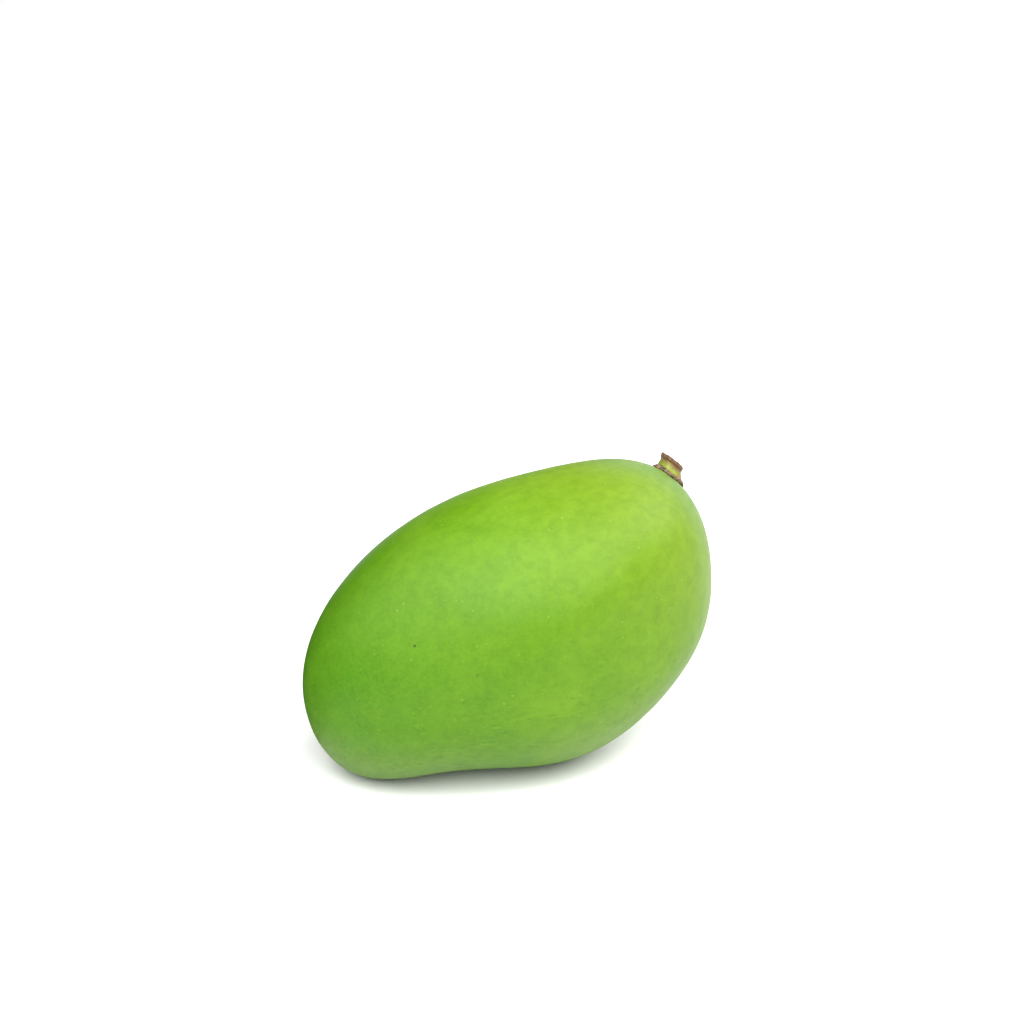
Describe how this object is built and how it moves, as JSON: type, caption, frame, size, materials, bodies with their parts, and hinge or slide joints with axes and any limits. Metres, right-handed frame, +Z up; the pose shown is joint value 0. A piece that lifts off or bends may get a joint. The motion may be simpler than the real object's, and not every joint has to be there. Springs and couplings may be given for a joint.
{
  "type": "mango",
  "caption": "Whole green mango with a short cut stem, beaked at the far end, lying on its belly on a small flat spot.",
  "frame": {"origin": "on the ground, under the middle of the bounding box", "axes": "+X to the stem end, -X to the beak, +Z up as it lies, -Y to the cheek that faces the viewer"},
  "size_m": [0.1058, 0.0642, 0.0756],
  "materials": {
    "mango_skin": "smooth waxy green peel with a satin sheen, faint mottling and tiny pale pores",
    "mango_stem": "matt brown cork collar and yellow-green stub, dry at the cut"
  },
  "bodies": {
    "root": {"fruit": "mango_skin", "stem": "mango_stem"}
  },
  "joints": []
}
